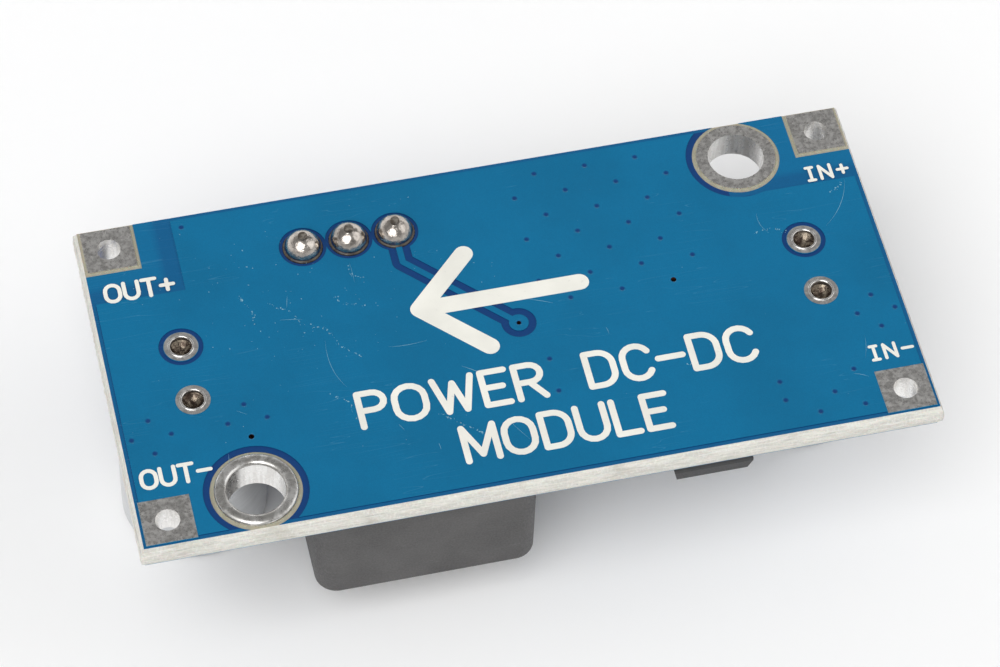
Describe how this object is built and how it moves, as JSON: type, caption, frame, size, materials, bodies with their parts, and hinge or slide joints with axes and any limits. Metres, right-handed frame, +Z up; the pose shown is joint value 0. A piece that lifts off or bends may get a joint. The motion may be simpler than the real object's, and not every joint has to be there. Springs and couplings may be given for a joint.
{
  "type": "step-down voltage converter module",
  "caption": "Small step-down converter board lying solder side up on its two capacitor cans, with plated mounting holes, corner terminals and a turning trimmer screw.",
  "frame": {"origin": "on the surface that the module lies on, under the middle of the board: z = 0 is the plane of the two capacitor cans' flat ends", "axes": "+X along the board towards the input terminals, +Y across it towards the edge with both plus terminals, +Z up out of the solder side"},
  "size_m": [0.043, 0.021, 0.0132],
  "materials": {
    "laminate": "sawn glass-fibre laminate",
    "copper": "etched copper",
    "solder_mask": "blue, glossy, finely scratched",
    "tin": "hot-air levelled tin, scratched",
    "solder": "bright solder",
    "can_aluminium": "drawn aluminium, satin",
    "base_plastic": "black moulded plastic",
    "lead_metal": "tinned",
    "trimmer_plastic": "blue moulded plastic",
    "trimmer_sealing": "poured resin",
    "screw_brass": "turned brass",
    "ferrite": "pressed ferrite, matt",
    "winding_wire": "enamelled copper wire",
    "moulding": "black mould compound",
    "tab_metal": "tinned copper",
    "led_substrate": "white",
    "led_lens": "clear resin, milky",
    "contact_gold": "gold flash",
    "chip_black": "glazed black film on ceramic",
    "chip_ceramic": "tan ceramic",
    "print_ink": "white printed ink"
  },
  "bodies": {
    "module": {"circuit_board": "laminate", "ground_plane": "copper", "feedback_track": "copper", "component_foil": "copper", "solder_mask_top": "solder_mask", "solder_mask_bottom": "solder_mask", "component_lands": "tin", "in_plus_terminal": "tin", "in_minus_terminal": "tin", "out_plus_terminal": "tin", "out_minus_terminal": "tin", "mounting_hole_linings": "tin", "capacitor_hole_linings": "tin", "trimmer_hole_linings": "tin", "thermal_vias": "copper", "stitching_vias": "copper", "trimmer_solder_joints": "solder", "input_can": "can_aluminium", "input_base": "base_plastic", "input_leads": "lead_metal", "output_can": "can_aluminium", "output_base": "base_plastic", "output_leads": "lead_metal", "trimmer_housing": "trimmer_plastic", "trimmer_base": "trimmer_sealing", "trimmer_pins": "lead_metal", "inductor_base": "base_plastic", "inductor_shield": "ferrite", "inductor_drum": "ferrite", "inductor_winding": "winding_wire", "inductor_terminals": "lead_metal", "regulator_body": "moulding", "regulator_tab": "tab_metal", "regulator_leads": "lead_metal", "diode_body": "moulding", "diode_terminals": "lead_metal", "led_base": "led_substrate", "led_lens": "led_lens", "led_terminals": "contact_gold", "chip_resistors": "chip_black", "chip_resistor_ends": "tin", "chip_capacitor": "chip_ceramic", "chip_capacitor_ends": "tin"},
    "adjusting_screw": {"trimmer_screw": "screw_brass"}
  },
  "joints": [
    {"name": "screw_turn", "type": "hinge", "parent": "module", "child": "adjusting_screw", "pos_m": [-0.01026, 0.00747, 0], "axis": [0, 0, 1], "continuous": true}
  ]
}
